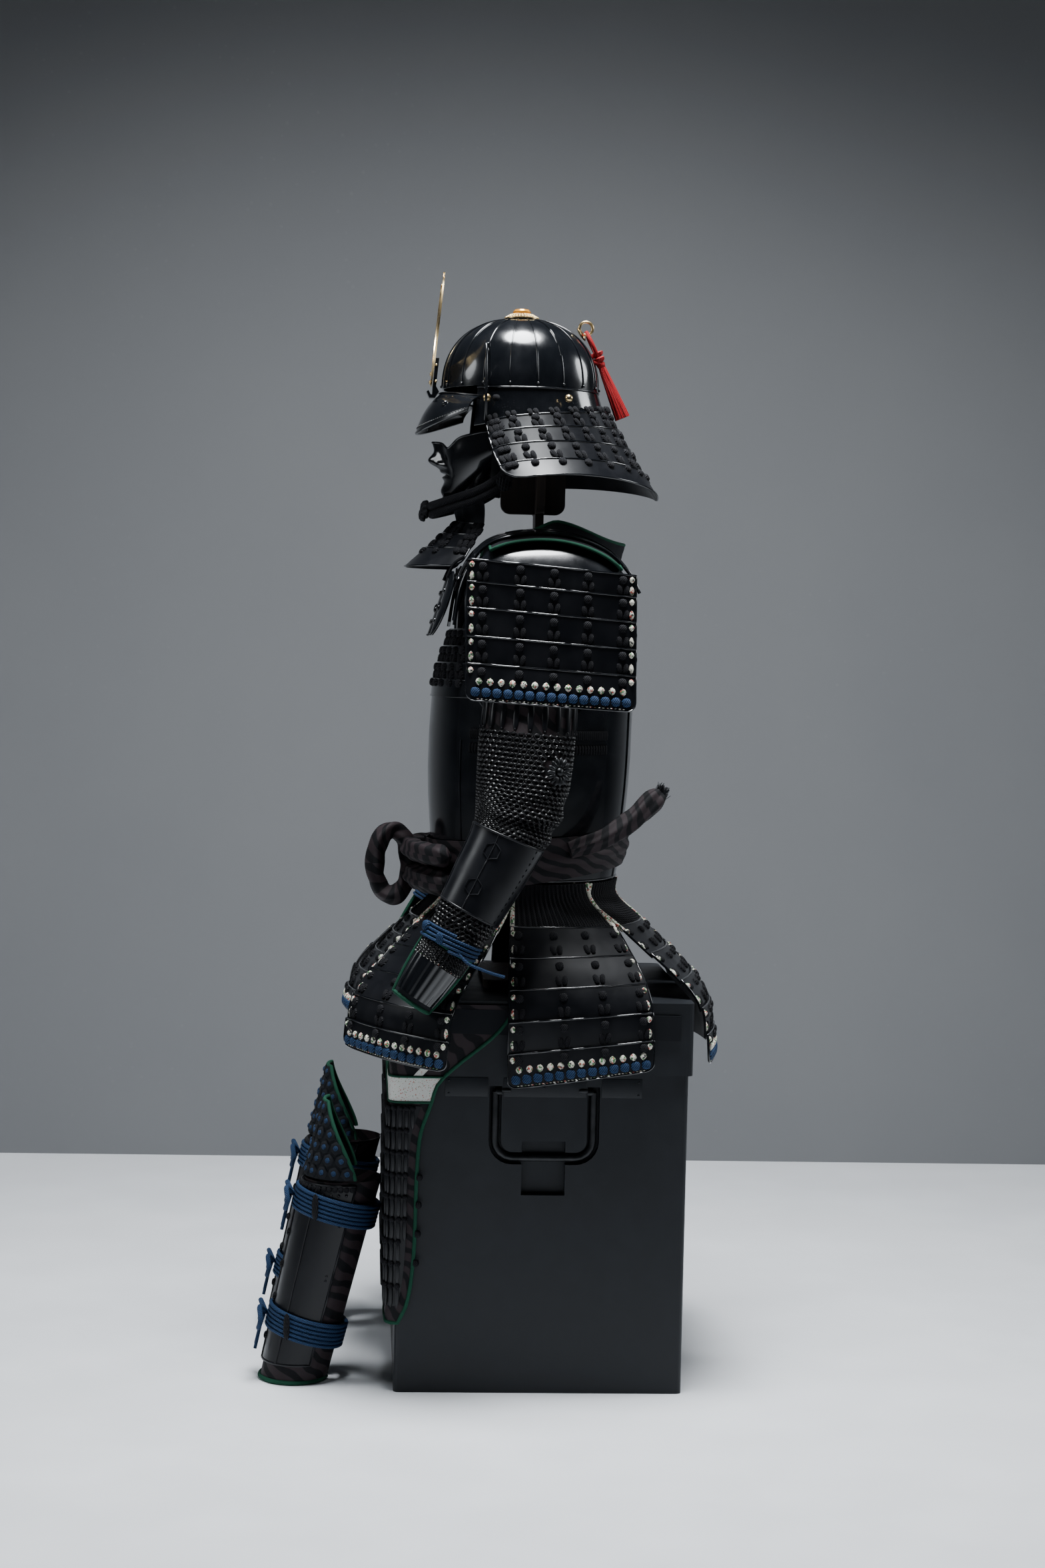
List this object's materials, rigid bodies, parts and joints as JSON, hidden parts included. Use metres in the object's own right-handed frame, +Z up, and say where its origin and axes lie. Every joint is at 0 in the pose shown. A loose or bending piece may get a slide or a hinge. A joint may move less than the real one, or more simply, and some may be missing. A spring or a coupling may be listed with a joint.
{
  "type": "samurai armour on its storage box stand",
  "caption": "Worn-form samurai armour with crested helmet, half mask, laced shoulder guards and skirt, sleeves and shin guards, set up on its lidded storage box.",
  "frame": {"origin": "middle of the storage box's underside, on the floor", "axes": "+Z up, the armour faces -Y, +X is the armour's left"},
  "size_m": [0.657, 0.6393, 1.553],
  "materials": {
    "box_lacquer": "matt dark grey-blue lacquer",
    "iron": "dark satin iron",
    "stand_wood": "dark stained board",
    "black_lacquer": "glossy black lacquer",
    "gold": "polished gilt",
    "red_silk": "red silk cord",
    "black_cord": "black braided cord",
    "striped_cloth": "dark striped woven cloth",
    "green_binding": "green cloth binding",
    "blue_cord": "blue braided cord",
    "patterned_cord": "white, green and red braided cord",
    "brocade": "white brocade",
    "mail": "blackened iron rings",
    "under_cloth": "plain black cloth"
  },
  "bodies": {
    "root": {"box_body": "box_lacquer", "box_lid": "box_lacquer", "stand_frame": "stand_wood", "helmet_bowl": "black_lacquer", "helmet_crown_fitting": "gold", "helmet_peak": "black_lacquer", "helmet_brow_band": "black_lacquer", "neck_guard": "black_lacquer", "crest": "gold", "crest_holder": "black_lacquer", "rear_ring": "gold", "tassel": "red_silk", "mask": "black_lacquer", "throat_guard": "black_lacquer", "chin_cord": "black_cord", "cuirass_front": "black_lacquer", "cuirass_back": "black_lacquer", "shoulder_strap_left": "black_lacquer", "shoulder_strap_right": "black_lacquer", "shoulder_pad_left": "striped_cloth", "shoulder_pad_right": "striped_cloth", "collar": "striped_cloth", "chest_leaf_left": "black_lacquer", "chest_leaf_right": "black_lacquer", "sash_wrap": "striped_cloth", "sash_bow": "striped_cloth", "sash_tail": "striped_cloth", "tasset_front": "black_lacquer", "tasset_front_left": "black_lacquer", "tasset_front_right": "black_lacquer", "tasset_side_left": "black_lacquer", "tasset_side_right": "black_lacquer", "tasset_back_left": "black_lacquer", "tasset_back_right": "black_lacquer", "shoulder_guard_left": "black_lacquer", "shoulder_guard_right": "black_lacquer", "sleeve_left": "striped_cloth", "sleeve_right": "striped_cloth", "forearm_plate_left": "black_lacquer", "forearm_plate_right": "black_lacquer", "hand_guard_left": "black_lacquer", "hand_guard_right": "black_lacquer", "wrist_cord_left": "blue_cord", "wrist_cord_right": "blue_cord", "thigh_apron_left": "striped_cloth", "thigh_apron_right": "striped_cloth", "thigh_splints_left": "black_lacquer", "thigh_splints_right": "black_lacquer", "shin_cloth_left": "striped_cloth", "shin_cloth_right": "striped_cloth", "shin_plate_left": "black_lacquer", "shin_plate_right": "black_lacquer", "knee_flap_left": "striped_cloth", "knee_flap_right": "striped_cloth", "shin_cord_upper_left": "blue_cord", "shin_cord_upper_right": "blue_cord", "shin_cord_lower_left": "blue_cord", "shin_cord_lower_right": "blue_cord"},
    "handle_left": {"box_handle_left": "iron"},
    "handle_right": {"box_handle_right": "iron"}
  },
  "joints": [
    {"name": "handle_left_swing", "type": "hinge", "parent": "root", "child": "handle_left", "pos_m": [0.2335, 0.001, 0.417], "axis": [0, -1, 0], "range_deg": [0, 90]},
    {"name": "handle_right_swing", "type": "hinge", "parent": "root", "child": "handle_right", "pos_m": [-0.2335, 0.001, 0.417], "axis": [0, 1, 0], "range_deg": [0, 90]}
  ]
}
